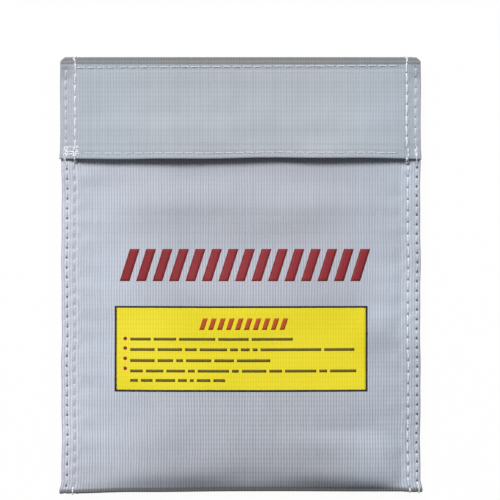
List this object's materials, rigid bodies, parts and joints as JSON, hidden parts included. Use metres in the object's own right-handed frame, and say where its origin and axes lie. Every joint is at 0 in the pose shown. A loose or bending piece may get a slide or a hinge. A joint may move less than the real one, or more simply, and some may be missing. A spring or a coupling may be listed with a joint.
{
  "type": "fire-resistant battery charging pouch",
  "caption": "Flat sewn pouch of silver coated glass-fibre cloth that holds a rechargeable battery pack, with a wide fold-over flap closed by hook-and-loop tape.",
  "frame": {"origin": "middle of the pouch's outline, on the flat surface that its back lies on", "axes": "+X across the width, +Y from the bottom fold towards the top fold and the flap's creases, +Z out of the printed front"},
  "size_m": [0.1852, 0.2234, 0.0143],
  "materials": {
    "coated_cloth": "silver polyurethane-coated woven glass-fibre cloth, fine ribbed weave, satin",
    "lining_cloth": "uncoated pale grey woven glass-fibre cloth, matt",
    "loop_pile": "grey brushed loop pile on a woven backing",
    "hook_pile": "grey moulded nylon hooks on a woven backing",
    "thread": "coarse white two-ply sewing thread",
    "yellow_ink": "opaque yellow screen-print ink that shows the weave",
    "red_ink": "dark red screen-print ink that shows the weave",
    "black_ink": "black screen-print ink that shows the weave"
  },
  "bodies": {
    "pouch": {"back_lining": "lining_cloth", "back_outer_cloth": "coated_cloth", "bottom_fold_cloth": "coated_cloth", "bottom_fold_left_threads": "thread", "bottom_fold_right_threads": "thread", "front_lining": "lining_cloth", "front_outer_cloth": "coated_cloth", "left_inner_seam_back_thread": "thread", "left_inner_seam_front_thread": "thread", "left_outer_seam_back_thread": "thread", "left_outer_seam_front_thread": "thread", "left_seam_allowance": "coated_cloth", "loop_tape": "loop_pile", "loop_tape_lower_thread": "thread", "loop_tape_upper_thread": "thread", "mouth_hem": "coated_cloth", "print_black_marks": "black_ink", "print_panel": "yellow_ink", "print_panel_frame": "black_ink", "print_red_marks": "red_ink", "right_inner_seam_back_thread": "thread", "right_inner_seam_front_thread": "thread", "right_outer_seam_back_thread": "thread", "right_outer_seam_front_thread": "thread", "right_seam_allowance": "coated_cloth"},
    "fold_strip": {"top_fold_cloth": "coated_cloth", "top_fold_left_threads": "thread", "top_fold_lining": "lining_cloth", "top_fold_right_threads": "thread"},
    "flap": {"flap_hem_thread": "thread", "flap_left_corner_tack": "thread", "flap_left_hem": "coated_cloth", "flap_left_inner_thread": "thread", "flap_left_outer_thread": "thread", "flap_lining": "lining_cloth", "flap_lower_hem": "coated_cloth", "flap_outer_cloth": "coated_cloth", "flap_right_corner_tack": "thread", "flap_right_hem": "coated_cloth", "flap_right_inner_thread": "thread", "flap_right_outer_thread": "thread", "flap_top_thread": "thread", "hook_tape": "hook_pile"}
  },
  "joints": [
    {"name": "back_crease", "type": "hinge", "parent": "pouch", "child": "fold_strip", "pos_m": [0, 0.11102, 0.0048], "axis": [1, 0, 0], "range_deg": [-114, 0]},
    {"name": "front_crease", "type": "hinge", "parent": "fold_strip", "child": "flap", "pos_m": [0, 0.10902, 0.0103], "axis": [1, 0, 0], "range_deg": [-66, 0]}
  ]
}
